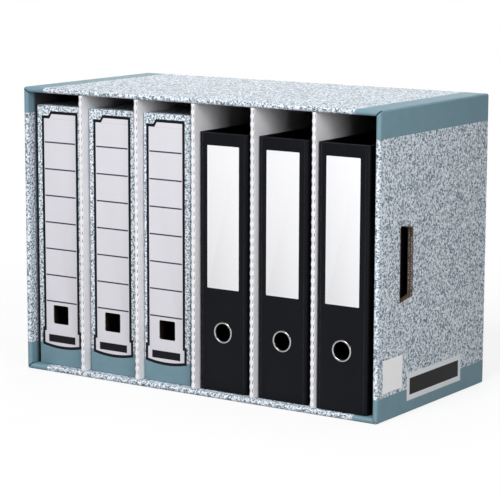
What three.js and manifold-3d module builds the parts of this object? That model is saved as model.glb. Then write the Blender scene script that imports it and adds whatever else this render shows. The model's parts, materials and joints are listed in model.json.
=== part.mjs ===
// An open-fronted archive storage unit of folded corrugated board. Five folded dividers make six
// upright compartments, which hold three transfer boxes and three lever arch files.
// Millimetres, +Z up. X runs to the right and Y to the back. The origin is on the floor, in the
// middle of the unit.
import * as THREE from 'three';
import { mergeVertices } from 'three/addons/utils/BufferGeometryUtils.js';
import Module from 'manifold-3d';

const wasm = await Module();
wasm.setup();

// The case, whose width follows from its compartments
const compartmentCount = 6;
const compartmentWidth = 88.35;
const caseDepth = 288;
const caseHeight = 398;
const boardThickness = 3.4;
const foldGap = 0.4;
const creaseRadius = 3;
const seamWidth = 0.5;
const flapSeam = 1.2;
const sideFlapWidth = 90;

// The hand slots in the two side walls, a little taller towards the front
const slotWidth = 31;
const slotFrontHeight = 98;
const slotRearHeight = 87;
const slotFromFront = 54.5;
const slotMiddleHeight = 198;
const slotCorner = 2.5;

// The dividers
const dividerLeaf = 2.6;
const dividerLeafGap = 0.3;
const dividerSetback = 2;
const slitPitch = 10.8;
const slitLength = 5;
const slitDepth = 1.7;
const creaseEase = 0.7;
const seatGap = 0.3;

// The transfer boxes
const transferSideRoom = 12.35;
const transferHeadroom = 18.6;
const transferBackRoom = 19.2;
const transferSetback = 14;
const transferBoard = 1.8;
const transferCrease = 1.5;
const lidGap = 0.4;
const tuckLength = 34;
const fingerHoleSize = 26.5;
const fingerHoleHeight = 72;
const fingerHoleCorner = 2;
// How far each box stands off the wall or divider at its left
const transferOffsets = [5.8, 3, 2];

// The lever arch files
const fileSideRoom = 11.35;
const fileHeadroom = 37.6;
const fileBackRoom = 19.2;
const coverBoard = 2.2;
const spineRadius = 5;
const sideClearance = 0.75;
// How far each file's spine stands behind the case's front edge
const fileSetbacks = [12, 11, 6];
const hingeGroove = 0.5;
const hingeGrooveWidth = 3;
const hingeFromSpine = 8;
const labelWidth = 50;
const labelHeight = 190;
const labelThickness = 0.35;
const labelCorner = 1;
const labelBelowTop = 17;
const glueGap = 0.05;

// The finger ring in each file's spine
const ringHeight = 80.5;
const ringBore = 24;
const ringWall = 0.8;
const ringFlange = 29.6;
const ringLip = 1;
const ringBoreShoulder = 0.6;
const ringRimShoulder = 0.8;
const ringClearance = 0.3;

// The lever arch mechanism on each file's back cover
const plateWidth = 58;
const plateHeight = 164;
const plateThickness = 1.2;
const plateFromSpine = 14;
const plateLip = 3;
const plateCorner = 5;
const postSpacing = 80;
const postDiameter = 4;
const archWire = 3.6;
const archReach = 34;
const archTopClearance = 4;
const postFromPlateEdge = 14;
const barWidth = 22;
const barOverhang = 18;
const barThickness = 1;
const barCorner = 3;
const barHoleClearance = 0.6;
const leverWidth = 13;
const leverThickness = 1.6;
const leverLength = 78;
const leverRise = 16;
const leverBow = 1;
const leverBendShare = 0.6;
const leverTipSlant = 0.4;
const leverRootDrop = 2;
const leverPinDiameter = 3;
const leverPinDrop = 14;
const leverPinInset = 3;
const leverPinProud = 0.5;
const earWidth = 7;
const earHeight = 8;
const earThickness = 1.2;
const runningGap = 0.35;
const eyeletLength = 17;
const eyeletWidth = 8;
const eyeletRim = 2;
const eyeletThickness = 0.6;

// How far a cutting tool runs past the faces it cuts, how near two corners count as one, and how
// much a half-round end falls short of its full radius, so that its outline has no double corner
const overrun = 1;
const weldDistance = 1e-4;
const endShortfall = 0.01;

// Fineness of the round stretches: a quarter or half turn takes twice its steps
const foldSteps = 3;
const creaseSteps = 2;
const cornerSteps = 1;
const wireSides = 8;
const archSteps = 8;
const ringSides = 24;

// Sizes that follow from the ones above
const rimThickness = 2 * boardThickness + foldGap;
const dividerThickness = 2 * dividerLeaf + dividerLeafGap;
const pitch = compartmentWidth + dividerThickness;
const innerWidth = compartmentCount * pitch - dividerThickness;
const caseWidth = innerWidth + 2 * rimThickness;
const frontY = -caseDepth / 2;
const backFace = caseDepth / 2 - boardThickness;
const innerHeight = caseHeight - 2 * rimThickness;
const innerDepth = caseDepth - 2 * boardThickness;
const standing = rimThickness + seatGap;
const transferWidth = compartmentWidth - transferSideRoom;
const transferHeight = innerHeight - transferHeadroom;
const transferDepth = innerDepth - transferBackRoom;
const fileWidth = compartmentWidth - fileSideRoom;
const fileHeight = innerHeight - fileHeadroom;
const fileDepth = innerDepth - fileBackRoom;

const finish = (color, roughness, metalness = 0) =>
  new THREE.MeshStandardMaterial({ color, roughness, metalness });
const materials = {
  speckledBoard: finish(0xb4bec6, 0.8),
  whiteBoard: finish(0xe9e9e8, 0.85),
  blackCover: finish(0x1c1e20, 0.55),
  labelPaper: finish(0xf4f4f4, 0.8),
  nickel: finish(0xb8b9bb, 0.3, 1),
};

// A three.js geometry as a solid: only the position is kept and shared corners are merged.
function solid(geometry) {
  const bare = geometry.index ? geometry.toNonIndexed() : geometry.clone();
  bare.deleteAttribute('normal');
  bare.deleteAttribute('uv');
  const merged = mergeVertices(bare, weldDistance);
  return new wasm.Manifold(new wasm.Mesh({
    numProp: 3,
    vertProperties: new Float32Array(merged.attributes.position.array),
    triVerts: new Uint32Array(merged.index.array),
  }));
}

function joined(solids) {
  return solids.reduce((whole, piece) => whole.add(piece));
}

function cut(body, tools) {
  return tools.reduce((rest, tool) => rest.subtract(tool), body);
}

function geometryOf(body) {
  const mesh = body.getMesh();
  const geometry = new THREE.BufferGeometry();
  geometry.setAttribute('position', new THREE.BufferAttribute(new Float32Array(mesh.vertProperties), 3));
  geometry.setIndex(new THREE.BufferAttribute(new Uint32Array(mesh.triVerts), 1));
  geometry.computeVertexNormals();
  return geometry;
}

// A box from its lowest and highest corner.
function block(low, high) {
  const size = high.map((value, axis) => value - low[axis]);
  const middle = high.map((value, axis) => (value + low[axis]) / 2);
  return new THREE.BoxGeometry(...size).translate(...middle);
}

function extruded(shape, depth, steps = foldSteps) {
  return new THREE.ExtrudeGeometry(shape, { depth, bevelEnabled: false, curveSegments: steps });
}

function roundedRectangle(x, y, width, height, radius) {
  const shape = new THREE.Shape();
  shape.moveTo(x + radius, y);
  shape.lineTo(x + width - radius, y);
  shape.absarc(x + width - radius, y + radius, radius, -Math.PI / 2, 0);
  shape.lineTo(x + width, y + height - radius);
  shape.absarc(x + width - radius, y + height - radius, radius, 0, Math.PI / 2);
  shape.lineTo(x + radius, y + height);
  shape.absarc(x + radius, y + height - radius, radius, Math.PI / 2, Math.PI);
  shape.lineTo(x, y + radius);
  shape.absarc(x + radius, y + radius, radius, Math.PI, 1.5 * Math.PI);
  return shape;
}

// Turns a geometry's own X, Y and Z to three given directions and moves its origin to a corner.
function placed(geometry, [x, y, z], corner) {
  const axes = [x, y, z].map((axis) => new THREE.Vector3(...axis));
  const matrix = new THREE.Matrix4().makeBasis(...axes).setPosition(...corner);
  return geometry.applyMatrix4(matrix);
}

// One wall of the case in section: an outer leaf that is folded inwards round the front edge and
// runs back inside as a second leaf. X goes inwards from the outer face and Y to the back.
function wallSection() {
  const foldRadius = rimThickness / 2;
  const returnEnd = innerDepth - foldGap;
  const section = new THREE.Shape();
  section.moveTo(0, caseDepth - creaseRadius);
  section.lineTo(0, foldRadius);
  section.absarc(foldRadius, foldRadius, foldRadius, Math.PI, 2 * Math.PI);
  section.lineTo(rimThickness, returnEnd);
  section.lineTo(boardThickness + foldGap, returnEnd);
  section.lineTo(boardThickness + foldGap, foldRadius);
  section.absarc(foldRadius, foldRadius, foldGap / 2, 0, Math.PI, true);
  section.lineTo(boardThickness, caseDepth);
  section.lineTo(creaseRadius, caseDepth);
  section.absarc(creaseRadius, caseDepth - creaseRadius, creaseRadius, Math.PI / 2, Math.PI);
  return section;
}

// The four walls: the section carried round the opening, with its corners mitred.
function foldedWalls() {
  const section = wallSection().getPoints(foldSteps).slice(0, -1);
  const corners = [[-1, 0], [1, 0], [1, 1], [-1, 1]];
  const positions = corners.flatMap(([side, top]) => section.flatMap(({ x: inwards, y: behind }) => [
    side * (caseWidth / 2 - inwards), frontY + behind, top ? caseHeight - inwards : inwards,
  ]));
  const count = section.length;
  const faces = corners.flatMap((_, corner) => section.flatMap((__, point) => {
    const next = ((corner + 1) % corners.length) * count;
    const here = corner * count;
    const beside = (point + 1) % count;
    return [here + point, next + point, next + beside, here + point, next + beside, here + beside];
  }));
  const geometry = new THREE.BufferGeometry();
  geometry.setAttribute('position', new THREE.Float32BufferAttribute(positions, 3));
  geometry.setIndex(faces);
  return solid(geometry);
}

// The back: two wide flaps folded from roof and floor meet in the middle, glued over two narrow
// flaps that are folded in from the side walls.
function backFlaps() {
  const half = caseWidth / 2;
  const back = caseDepth / 2;
  const middle = caseHeight / 2;
  const inside = boardThickness / 2;
  const flaps = [
    block([-half + inside, backFace, inside], [half - inside, back, middle - flapSeam / 2]),
    block([-half + inside, backFace, middle + flapSeam / 2], [half - inside, back, caseHeight - inside]),
  ];
  for (const side of [-1, 1]) {
    const edges = [side * (half - inside), side * (half - boardThickness - sideFlapWidth)];
    flaps.push(block(
      [Math.min(...edges), backFace - boardThickness, boardThickness + foldGap],
      [Math.max(...edges), backFace + inside, caseHeight - boardThickness - foldGap],
    ));
  }
  return flaps.map(solid);
}

// A narrow seam along each inner corner, where two of the folded-in leaves meet.
function cornerSeams() {
  const diagonal = (boardThickness + foldGap / 2) * Math.SQRT2 + overrun;
  return [[-1, 0], [1, 0], [-1, 1], [1, 1]].map(([side, top]) => {
    const seam = new THREE.BoxGeometry(diagonal, innerDepth, seamWidth);
    seam.translate(diagonal / 2 - overrun, 0, 0);
    seam.rotateY(-Math.atan2(top ? 1 : -1, side));
    const x = side * (caseWidth / 2 - rimThickness);
    const z = top ? caseHeight - rimThickness : rimThickness;
    return solid(seam.translate(x, frontY + innerDepth / 2 - overrun, z));
  });
}

// A hand slot's outline: a trapezoid with soft corners.
function slotShape() {
  const corners = [
    [0, -slotFrontHeight / 2], [slotWidth, -slotRearHeight / 2],
    [slotWidth, slotRearHeight / 2], [0, slotFrontHeight / 2],
  ].map(([behind, rise]) => new THREE.Vector2(frontY + slotFromFront + behind, slotMiddleHeight + rise));
  const near = (corner, other) => corner.clone().add(other.clone().sub(corner).setLength(slotCorner));
  const shape = new THREE.Shape();
  corners.forEach((corner, index) => {
    const start = near(corner, corners.at(index - 1));
    const end = near(corner, corners[(index + 1) % corners.length]);
    if (index === 0) {
      shape.moveTo(start.x, start.y);
    } else {
      shape.lineTo(start.x, start.y);
    }
    shape.quadraticCurveTo(corner.x, corner.y, end.x, end.y);
  });
  return shape;
}

function outerCase() {
  const half = caseWidth / 2;
  const roundCorners = extruded(
    roundedRectangle(-half, 0, caseWidth, caseHeight, creaseRadius), caseDepth + 2 * overrun, creaseSteps,
  );
  placed(roundCorners, [[1, 0, 0], [0, 0, 1], [0, -1, 0]], [0, caseDepth / 2 + overrun, 0]);
  const slots = extruded(slotShape(), caseWidth + 2 * overrun, foldSteps);
  placed(slots, [[0, 1, 0], [0, 0, 1], [1, 0, 0]], [-half - overrun, 0, 0]);
  const folded = joined([foldedWalls(), ...backFlaps()]).intersect(solid(roundCorners));
  return cut(folded, [...cornerSeams(), solid(slots)]);
}

// A divider: one strip of white board folded double, with its fold to the front. Both creases of
// the fold are perforated, so that the slits gape and the bridges between them stand out.
function divider(x) {
  const height = innerHeight - 2 * seatGap;
  const front = frontY + dividerSetback;
  const back = backFace - seatGap;
  const half = dividerThickness / 2;
  const plan = new THREE.Shape();
  plan.moveTo(-half, back);
  plan.lineTo(-half, front + creaseEase);
  plan.lineTo(-half + creaseEase, front);
  plan.lineTo(half - creaseEase, front);
  plan.lineTo(half, front + creaseEase);
  plan.lineTo(half, back);
  plan.lineTo(dividerLeafGap / 2, back);
  plan.lineTo(dividerLeafGap / 2, front + dividerLeaf);
  plan.lineTo(-dividerLeafGap / 2, front + dividerLeaf);
  plan.lineTo(-dividerLeafGap / 2, back);
  const leaf = solid(extruded(plan, height).translate(x, 0, standing));
  const slitCount = Math.floor((height - slitLength) / slitPitch);
  const first = standing + (height - (slitCount - 1) * slitPitch) / 2;
  const side = slitDepth * Math.SQRT2;
  const slits = [-half, half].flatMap((crease) => Array.from({ length: slitCount }, (_, index) => {
    const slit = new THREE.BoxGeometry(side, side, slitLength).rotateZ(Math.PI / 4);
    return solid(slit.translate(x + crease, front, first + index * slitPitch));
  }));
  return cut(leaf, slits);
}

const compartmentLeft = (index) => -innerWidth / 2 + index * pitch;

// A transfer box: folded from one sheet, with a lid hinged at the back whose tongue tucks in
// behind the front panel, and a square finger hole to draw it out by.
function transferBox(left) {
  const front = frontY + transferSetback;
  const back = front + transferDepth;
  const right = left + transferWidth;
  const top = standing + transferHeight;
  const board = transferBoard;
  const body = extruded(
    roundedRectangle(left, front, transferWidth, transferDepth, transferCrease), transferHeight, cornerSteps,
  ).translate(0, 0, standing);
  const hollow = block([left + board, front + board, standing + board], [right - board, back - board, top + overrun]);
  const side = board + lidGap;
  const lid = block([left + side, front + side, top - board], [right - side, back - board / 2, top]);
  const tuck = block(
    [left + side, front + side, top - tuckLength],
    [right - side, front + side + board, top - board / 2],
  );
  const middle = left + transferWidth / 2;
  const hole = extruded(roundedRectangle(
    middle - fingerHoleSize / 2, standing + fingerHoleHeight - fingerHoleSize / 2,
    fingerHoleSize, fingerHoleSize, fingerHoleCorner,
  ), board + 2 * overrun, cornerSteps);
  placed(hole, [[1, 0, 0], [0, 0, 1], [0, -1, 0]], [0, front + board + overrun, 0]);
  const tray = cut(solid(body), [solid(hollow), solid(hole)]);
  return joined([tray, solid(lid), solid(tuck)]);
}

// Where one file stands: its left side, its front and the heights of its plate.
function fileSeat(left, setback) {
  const front = frontY + setback;
  return {
    left,
    right: left + fileWidth,
    middle: left + fileWidth / 2,
    front,
    back: front + fileDepth,
    plateFace: left + coverBoard + seatGap + plateThickness,
    plateFront: front + coverBoard + plateFromSpine,
    centre: standing + fileHeight / 2,
  };
}

// The file's cover: back cover, spine and front cover in one wrapped piece, with rounded spine
// edges, a hinge groove beside each, the ring's hole and the two slots of the front cover.
function fileCover(seat) {
  const spare = 2 * spineRadius;
  const outline = roundedRectangle(seat.left, seat.front, fileWidth, fileDepth + spare, spineRadius);
  const outside = solid(extruded(outline, fileHeight, foldSteps).translate(0, 0, standing));
  const inside = block(
    [seat.left + coverBoard, seat.front + coverBoard, standing - overrun],
    [seat.right - coverBoard, seat.back + spare + overrun, standing + fileHeight + overrun],
  );
  const trim = block(
    [seat.left - overrun, seat.back, standing - overrun],
    [seat.right + overrun, seat.back + spare + overrun, standing + fileHeight + overrun],
  );
  const grooves = [seat.left - overrun, seat.right - hingeGroove].map((x) => block(
    [x, seat.front + hingeFromSpine, standing - overrun],
    [x + overrun + hingeGroove, seat.front + hingeFromSpine + hingeGrooveWidth, standing + fileHeight + overrun],
  ));
  const hole = new THREE.CylinderGeometry(
    ringBore / 2 + ringWall + ringClearance, ringBore / 2 + ringWall + ringClearance,
    coverBoard + 2 * overrun, ringSides,
  ).translate(seat.middle, seat.front + coverBoard / 2, standing + ringHeight);
  const slots = archHeights(seat).map((z) => eyeletOutline(
    seat, z, ringClearance, seat.right - coverBoard - overrun, seat.right + overrun,
  ));
  return cut(outside, [inside, trim, ...grooves, hole, ...slots].map(solid));
}

function spineLabel(seat) {
  const top = standing + fileHeight - labelBelowTop;
  const label = extruded(roundedRectangle(
    seat.middle - labelWidth / 2, top - labelHeight, labelWidth, labelHeight, labelCorner,
  ), labelThickness, cornerSteps);
  placed(label, [[1, 0, 0], [0, 0, 1], [0, -1, 0]], [0, seat.front - glueGap, 0]);
  return solid(label);
}

// The metal finger ring: a domed lip in front of the spine, a tube through it and a flange behind.
function fingerRing(seat) {
  const bore = ringBore / 2;
  const lip = ringFlange / 2;
  const behind = -(coverBoard + ringClearance);
  const profile = [
    [bore, behind - ringWall], [bore, ringLip * ringBoreShoulder], [bore + ringWall, ringLip],
    [lip - ringWall, ringLip * ringRimShoulder], [lip, glueGap], [bore + ringWall, glueGap],
    [bore + ringWall, behind], [lip - ringWall, behind], [lip - ringWall, behind - ringWall],
    [bore, behind - ringWall],
  ].map(([radius, height]) => new THREE.Vector2(radius, height)).reverse();
  const ring = new THREE.LatheGeometry(profile, ringSides);
  placed(ring, [[1, 0, 0], [0, -1, 0], [0, 0, -1]], [seat.middle, seat.front, standing + ringHeight]);
  return solid(ring);
}

const archHeights = (seat) => [-1, 1].map((end) => seat.centre + end * postSpacing / 2);
const postY = (seat) => seat.plateFront + postFromPlateEdge;
const archRadius = archReach / 2;
const crownX = (seat) => seat.right - coverBoard - archTopClearance - archRadius;

// A stadium where an arch comes to the front cover, grown by a margin, between two X values.
function eyeletOutline(seat, z, margin, from, to) {
  const width = eyeletWidth + 2 * margin;
  const length = eyeletLength + 2 * margin;
  const y = postY(seat) + archReach / 2;
  const shape = roundedRectangle(y - length / 2, z - width / 2, length, width, width / 2 - endShortfall);
  return placed(extruded(shape, to - from, cornerSteps), [[0, 1, 0], [0, 0, 1], [1, 0, 0]], [from, 0, 0]);
}

// A metal eyelet of the front cover: a rimmed stadium let into its slot.
function coverEyelet(seat, z) {
  const face = seat.right - coverBoard - glueGap;
  const inner = face - eyeletThickness;
  const tube = eyeletOutline(seat, z, 0, inner, seat.right);
  const rim = eyeletOutline(seat, z, eyeletRim, inner, face);
  const bore = eyeletOutline(seat, z, -ringWall, inner - overrun, seat.right + overrun);
  return cut(joined([solid(tube), solid(rim)]), [solid(bore)]);
}

// The steel base plate on the back cover, with its long edges turned up and two ears that carry
// the lever's pin.
function basePlate(seat) {
  const face = seat.plateFace;
  const low = seat.centre - plateHeight / 2;
  const plate = extruded(
    roundedRectangle(seat.plateFront, low, plateWidth, plateHeight, plateCorner), plateThickness, cornerSteps,
  );
  placed(plate, [[0, 1, 0], [0, 0, 1], [1, 0, 0]], [face - plateThickness, 0, 0]);
  const far = seat.plateFront + plateWidth;
  const lips = [[seat.plateFront, seat.plateFront + plateThickness], [far - plateThickness, far]].map(
    ([from, to]) => block(
      [face - plateThickness, from, low + plateCorner], [face + plateLip, to, low + plateHeight - plateCorner],
    ),
  );
  const ears = [-1, 1].map((side) => {
    const y = leverY(seat) + side * (leverWidth / 2 + runningGap + earThickness / 2);
    return block(
      [face - plateThickness / 2, y - earThickness / 2, leverPinZ(seat) - earWidth / 2],
      [face + earHeight, y + earThickness / 2, leverPinZ(seat) + earWidth / 2],
    );
  });
  return cut(joined([plate, ...lips, ...ears].map(solid)), [solid(leverPinShape(seat, runningGap))]);
}

const leverY = (seat) => postY(seat) + archReach;
const leverPinZ = (seat) => seat.centre - postSpacing / 2 - leverPinDrop;
const leverPinX = (seat) => seat.plateFace + earHeight - leverPinInset;

function leverPinShape(seat, margin) {
  const length = leverWidth + 2 * (runningGap + earThickness + leverPinProud + margin);
  const radius = leverPinDiameter / 2 + margin;
  return new THREE.CylinderGeometry(radius, radius, length, wireSides)
    .translate(leverPinX(seat), leverY(seat), leverPinZ(seat));
}

// The bent lever, laid flat beside the plate with its nose round the pin and its end turned up.
function lever(seat) {
  const x = leverPinX(seat);
  const z = leverPinZ(seat);
  const eye = leverPinDiameter / 2 + runningGap;
  const outer = eye + leverThickness;
  const start = new THREE.Vector2(x + outer, z - leverRootDrop);
  const bend = new THREE.Vector2(x + outer + leverBow, z - leverLength * leverBendShare);
  const end = new THREE.Vector2(x + outer + leverRise, z - leverLength);
  const arm = new THREE.Shape();
  arm.moveTo(start.x, start.y);
  arm.quadraticCurveTo(bend.x, bend.y, end.x, end.y);
  arm.lineTo(end.x - leverThickness, end.y - leverTipSlant);
  arm.quadraticCurveTo(bend.x - leverThickness, bend.y, start.x - leverThickness, start.y);
  const nose = new THREE.Shape();
  nose.absarc(x, z, outer, 0, 2 * Math.PI);
  const hole = new THREE.Shape();
  hole.absarc(x, z, eye, 0, 2 * Math.PI);
  const directions = [[1, 0, 0], [0, 0, 1], [0, -1, 0]];
  const parts = [arm, nose].map((shape) => solid(placed(
    extruded(shape, leverWidth, foldSteps), directions, [0, leverY(seat) + leverWidth / 2, 0],
  )));
  const bore = placed(
    extruded(hole, leverWidth + 2 * overrun, foldSteps), directions,
    [0, leverY(seat) + leverWidth / 2 + overrun, 0],
  );
  return cut(joined(parts), [solid(bore)]);
}

// A fixed post: an upright wire from the base plate to the tip of its arch.
function post(seat, z) {
  const from = seat.plateFace + seatGap;
  const to = crownX(seat) - seatGap;
  const wire = new THREE.CylinderGeometry(postDiameter / 2, postDiameter / 2, to - from, wireSides);
  return solid(wire.rotateZ(Math.PI / 2).translate((from + to) / 2, postY(seat), z));
}

// The arch wire: one wire bent into two arches, which reach over to the posts, and a cross bar
// between them that lies on the base plate.
function archWireShape(seat) {
  const foot = seat.plateFace + seatGap + archWire / 2;
  const from = postY(seat) + archReach;
  const crown = crownX(seat);
  const wire = new THREE.Shape();
  wire.absarc(0, 0, archWire / 2, 0, 2 * Math.PI);
  const arches = archHeights(seat).map((z) => {
    const bend = Array.from({ length: archSteps + 1 }, (_, step) => {
      const turn = Math.PI * step / archSteps;
      return new THREE.Vector3(
        crown + archRadius * Math.sin(turn), from - archRadius + archRadius * Math.cos(turn), z,
      );
    });
    return sweep(wire, [new THREE.Vector3(foot, from, z), ...bend]);
  });
  const bar = new THREE.CylinderGeometry(archWire / 2, archWire / 2, postSpacing, wireSides);
  bar.rotateX(Math.PI / 2).translate(foot, from, seat.centre);
  return joined([...arches, solid(bar)]);
}

// A round wire along straight stretches from point to point.
function sweep(shape, points) {
  const path = new THREE.CurvePath();
  points.slice(1).forEach((point, index) => path.add(new THREE.LineCurve3(points[index], point)));
  path.getPoint = (t) => {
    const place = Math.min(t * (points.length - 1), points.length - 1 - 1e-9);
    const index = Math.floor(place);
    return points[index].clone().lerp(points[index + 1], place - index);
  };
  path.getPointAt = path.getPoint;
  return solid(new THREE.ExtrudeGeometry(shape, {
    extrudePath: path, steps: points.length - 1, curveSegments: wireSides / 4, bevelEnabled: false,
  }));
}

// The compressor bar: a steel strip that slides on the posts and rests on the plate's lips.
function compressorBar(seat) {
  const low = seat.centre - postSpacing / 2 - barOverhang;
  const height = postSpacing + 2 * barOverhang;
  const face = seat.plateFace + plateLip + seatGap;
  const strip = extruded(
    roundedRectangle(postY(seat) - barWidth / 2, low, barWidth, height, barCorner), barThickness, cornerSteps,
  );
  placed(strip, [[0, 1, 0], [0, 0, 1], [1, 0, 0]], [face, 0, 0]);
  const holes = archHeights(seat).map((z) => {
    const radius = postDiameter / 2 + barHoleClearance;
    return new THREE.CylinderGeometry(radius, radius, barThickness + 2 * overrun, wireSides)
      .rotateZ(Math.PI / 2).translate(face + barThickness / 2, postY(seat), z);
  });
  return cut(solid(strip), holes.map(solid));
}

const unit = new THREE.Group();

function addPiece(name, shape, material) {
  const mesh = new THREE.Mesh(geometryOf(shape), material);
  mesh.name = name;
  unit.add(mesh);
}

addPiece('outer_case', outerCase(), materials.speckledBoard);
for (let index = 1; index < compartmentCount; index += 1) {
  const middle = compartmentLeft(index) - dividerThickness / 2;
  addPiece(`divider_${index}`, divider(middle), materials.whiteBoard);
}

transferOffsets.forEach((offset, index) => {
  addPiece(`transfer_box_${index + 1}`, transferBox(compartmentLeft(index) + offset), materials.speckledBoard);
});

fileSetbacks.forEach((setback, index) => {
  const left = compartmentLeft(index + transferOffsets.length) + sideClearance;
  const seat = fileSeat(left, setback);
  const name = `file_${index + 1}`;
  addPiece(`${name}_cover`, fileCover(seat), materials.blackCover);
  addPiece(`${name}_spine_label`, spineLabel(seat), materials.labelPaper);
  addPiece(`${name}_finger_ring`, fingerRing(seat), materials.nickel);
  addPiece(`${name}_base_plate`, basePlate(seat), materials.nickel);
  addPiece(`${name}_arch_wire`, archWireShape(seat), materials.nickel);
  addPiece(`${name}_compressor_bar`, compressorBar(seat), materials.nickel);
  addPiece(`${name}_lever`, lever(seat), materials.nickel);
  addPiece(`${name}_lever_pin`, solid(leverPinShape(seat, 0)), materials.nickel);
  archHeights(seat).forEach((z, end) => {
    const place = end ? 'upper' : 'lower';
    addPiece(`${name}_${place}_post`, post(seat, z), materials.nickel);
    addPiece(`${name}_${place}_eyelet`, coverEyelet(seat, z), materials.nickel);
  });
});

export default unit;
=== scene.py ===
"""Looks of an open-fronted archive storage unit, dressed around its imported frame.

Everything is in metres: X to the right, Y to the back, Z up, with the origin on the floor.
"""
import json
import logging
import math
from dataclasses import dataclass
from enum import Enum
from typing import Iterable, Sequence

import bmesh
import bpy
from bmesh.types import BMEdge, BMesh, BMVert
from bpy.types import Material, Node, NodeSocket, Object, World
from mathutils import Matrix, Vector

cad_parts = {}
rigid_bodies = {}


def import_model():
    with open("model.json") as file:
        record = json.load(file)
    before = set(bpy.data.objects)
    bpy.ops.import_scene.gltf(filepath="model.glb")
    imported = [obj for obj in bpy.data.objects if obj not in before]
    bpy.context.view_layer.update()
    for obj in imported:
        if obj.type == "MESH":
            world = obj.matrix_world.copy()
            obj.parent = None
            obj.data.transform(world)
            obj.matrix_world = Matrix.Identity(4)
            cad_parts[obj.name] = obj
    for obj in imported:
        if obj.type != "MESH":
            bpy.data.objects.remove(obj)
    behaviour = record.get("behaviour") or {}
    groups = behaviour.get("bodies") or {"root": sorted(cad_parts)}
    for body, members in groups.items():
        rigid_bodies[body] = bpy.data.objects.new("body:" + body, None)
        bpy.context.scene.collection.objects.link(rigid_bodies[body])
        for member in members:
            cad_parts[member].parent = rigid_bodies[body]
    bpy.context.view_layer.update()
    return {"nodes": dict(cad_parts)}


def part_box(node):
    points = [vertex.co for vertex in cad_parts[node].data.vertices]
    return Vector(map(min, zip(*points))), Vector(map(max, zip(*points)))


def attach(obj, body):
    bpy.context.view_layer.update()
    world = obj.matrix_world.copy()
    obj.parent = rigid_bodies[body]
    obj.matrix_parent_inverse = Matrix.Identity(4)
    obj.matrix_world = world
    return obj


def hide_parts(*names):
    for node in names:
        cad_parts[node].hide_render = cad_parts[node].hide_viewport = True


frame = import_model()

log = logging.getLogger("archive_unit")
MM = 0.001
OVERRUN = 1 * MM  # how far a cutting tool runs past the faces that it cuts
NEAR = 1e-6  # points that lie nearer than this are one
Colour = tuple[float, float, float]
Pair = tuple[float, float]
Number = "Value | float"
# A rectangle's corners: the way to each along both axes, and the degrees where its arc starts
CORNERS = ((1, 1, 0), (-1, 1, 90), (-1, -1, 180), (1, -1, 270))


class Slot(Enum):
    """The material slots of the record."""

    CASE = "speckled_board"
    DIVIDER = "white_board"
    TRANSFER = "transfer_board"
    COVER = "black_cover"
    LABEL = "label_paper"
    STEEL = "bright_steel"


def srgb(red: int, green: int, blue: int) -> Colour:
    """Turn a colour of 0 to 255 as seen on a screen into linear values."""
    def linear(level: int) -> float:
        share = level / 255
        return share / 12.92 if share <= 0.04045 else ((share + 0.055) / 1.055) ** 2.4
    return linear(red), linear(green), linear(blue)


# Shader expressions


class Value:
    """A number in a shader graph that takes part in Python expressions."""

    def __init__(self, graph: "Graph", socket: NodeSocket) -> None:
        """Keep the graph and the output socket that carries the number."""
        self.graph = graph
        self.socket = socket

    def __add__(self, other: Number) -> "Value":
        """Add a number or a value."""
        return self.graph.math("ADD", self, other)

    __radd__ = __add__

    def __sub__(self, other: Number) -> "Value":
        """Take a number or a value away."""
        return self.graph.math("SUBTRACT", self, other)

    def __rsub__(self, other: Number) -> "Value":
        """Take this value away from a number."""
        return self.graph.math("SUBTRACT", other, self)

    def __mul__(self, other: Number) -> "Value":
        """Multiply, which also gives the overlap of two masks."""
        return self.graph.math("MULTIPLY", self, other)

    __rmul__ = __mul__

    def __truediv__(self, other: Number) -> "Value":
        """Divide by a number or a value."""
        return self.graph.math("DIVIDE", self, other)

    def __rtruediv__(self, other: Number) -> "Value":
        """Divide a number by this value."""
        return self.graph.math("DIVIDE", other, self)

    def __or__(self, other: Number) -> "Value":
        """Join two masks."""
        return self.graph.math("MAXIMUM", self, other)

    def __abs__(self) -> "Value":
        """The value without its sign."""
        return self.graph.math("ABSOLUTE", self)

    def above(self, limit: float, soft: float = 0.2 * MM) -> "Value":
        """A mask that is 1 where the value is over a limit.

        Args:
            limit: Where the mask is one half.
            soft: The width of its soft edge.

        Returns:
            The mask, from 0 to 1.
        """
        return self.graph.math("MULTIPLY_ADD", self, 1 / soft, 0.5 - limit / soft, clamp=True)

    def below(self, limit: float, soft: float = 0.2 * MM) -> "Value":
        """A mask that is 1 where the value is under a limit."""
        return self.graph.math("MULTIPLY_ADD", self, -1 / soft, 0.5 + limit / soft, clamp=True)

    def between(self, low: float, high: float, soft: float = 0.2 * MM) -> "Value":
        """A mask that is 1 between two limits."""
        return self.above(low, soft) * self.below(high, soft)


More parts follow.
